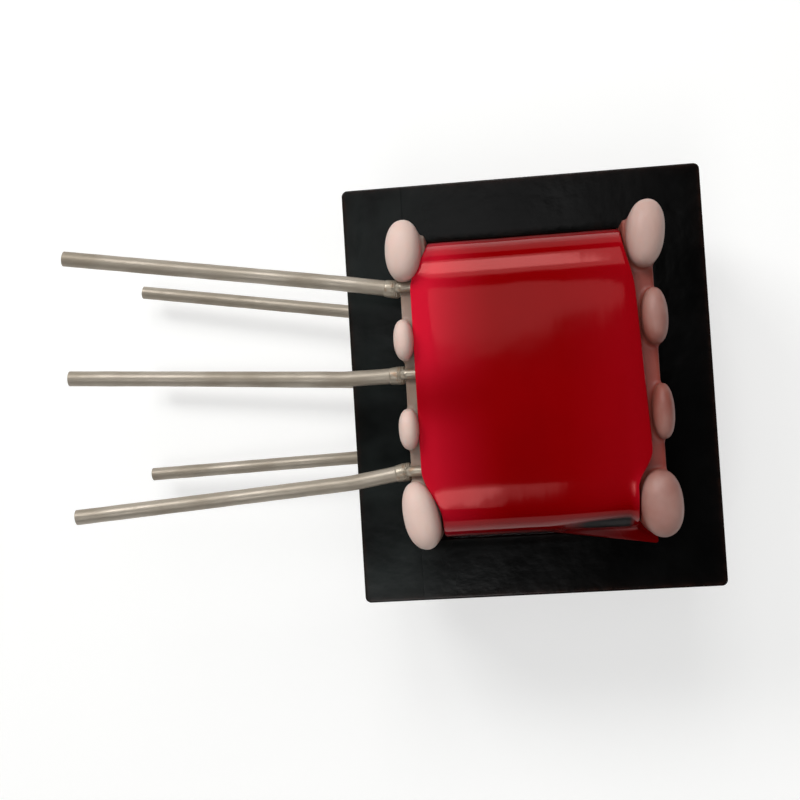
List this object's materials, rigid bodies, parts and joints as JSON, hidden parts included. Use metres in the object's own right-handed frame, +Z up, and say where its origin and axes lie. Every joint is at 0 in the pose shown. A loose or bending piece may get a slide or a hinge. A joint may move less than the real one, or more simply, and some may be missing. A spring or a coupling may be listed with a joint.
{
  "type": "pcb transformer",
  "caption": "Small board-mounting audio transformer: laminated core, taped coil on a moulded bobbin with scalloped flanges, and two rows of wire leads.",
  "frame": {"origin": "centre of the board seat: the outer face of the yoke on the leads' side, in the middle of the centre limb's width and of the stack", "axes": "+X along the centre limb, away from the board and the leads; +Y across the limbs; +Z up through the stack, out of the front face. The transformer lies on its back."},
  "size_m": [0.0212, 0.014, 0.0108],
  "materials": {
    "lacquered_silicon_steel": "semi-gloss black lacquer",
    "moulded_nylon": "pale moulded nylon, slightly translucent",
    "enamelled_copper": "enamelled copper wire, wound close",
    "clear_polyester_tape": "clear amber film",
    "red_polyester_tape": "glossy red film",
    "tinned_copper_clad_steel": "dull bright tin",
    "soldered_copper_wire": "copper wire tinned with solder"
  },
  "bodies": {
    "root": {"e_lamination_01": "lacquered_silicon_steel", "e_lamination_02": "lacquered_silicon_steel", "e_lamination_03": "lacquered_silicon_steel", "e_lamination_04": "lacquered_silicon_steel", "e_lamination_05": "lacquered_silicon_steel", "e_lamination_06": "lacquered_silicon_steel", "e_lamination_07": "lacquered_silicon_steel", "e_lamination_08": "lacquered_silicon_steel", "e_lamination_09": "lacquered_silicon_steel", "e_lamination_10": "lacquered_silicon_steel", "e_lamination_11": "lacquered_silicon_steel", "e_lamination_12": "lacquered_silicon_steel", "e_lamination_13": "lacquered_silicon_steel", "e_lamination_14": "lacquered_silicon_steel", "i_lamination_01": "lacquered_silicon_steel", "i_lamination_02": "lacquered_silicon_steel", "i_lamination_03": "lacquered_silicon_steel", "i_lamination_04": "lacquered_silicon_steel", "i_lamination_05": "lacquered_silicon_steel", "i_lamination_06": "lacquered_silicon_steel", "i_lamination_07": "lacquered_silicon_steel", "i_lamination_08": "lacquered_silicon_steel", "i_lamination_09": "lacquered_silicon_steel", "i_lamination_10": "lacquered_silicon_steel", "i_lamination_11": "lacquered_silicon_steel", "i_lamination_12": "lacquered_silicon_steel", "i_lamination_13": "lacquered_silicon_steel", "i_lamination_14": "lacquered_silicon_steel", "bobbin": "moulded_nylon", "primary_winding": "enamelled_copper", "inner_tape": "clear_polyester_tape", "secondary_winding": "enamelled_copper", "outer_tape": "red_polyester_tape", "lead_front_1": "tinned_copper_clad_steel", "termination_front_1": "soldered_copper_wire", "lead_front_2": "tinned_copper_clad_steel", "termination_front_2": "soldered_copper_wire", "lead_front_3": "tinned_copper_clad_steel", "termination_front_3": "soldered_copper_wire", "lead_back_1": "tinned_copper_clad_steel", "termination_back_1": "soldered_copper_wire", "lead_back_2": "tinned_copper_clad_steel", "termination_back_2": "soldered_copper_wire", "lead_back_3": "tinned_copper_clad_steel", "termination_back_3": "soldered_copper_wire"}
  },
  "joints": []
}
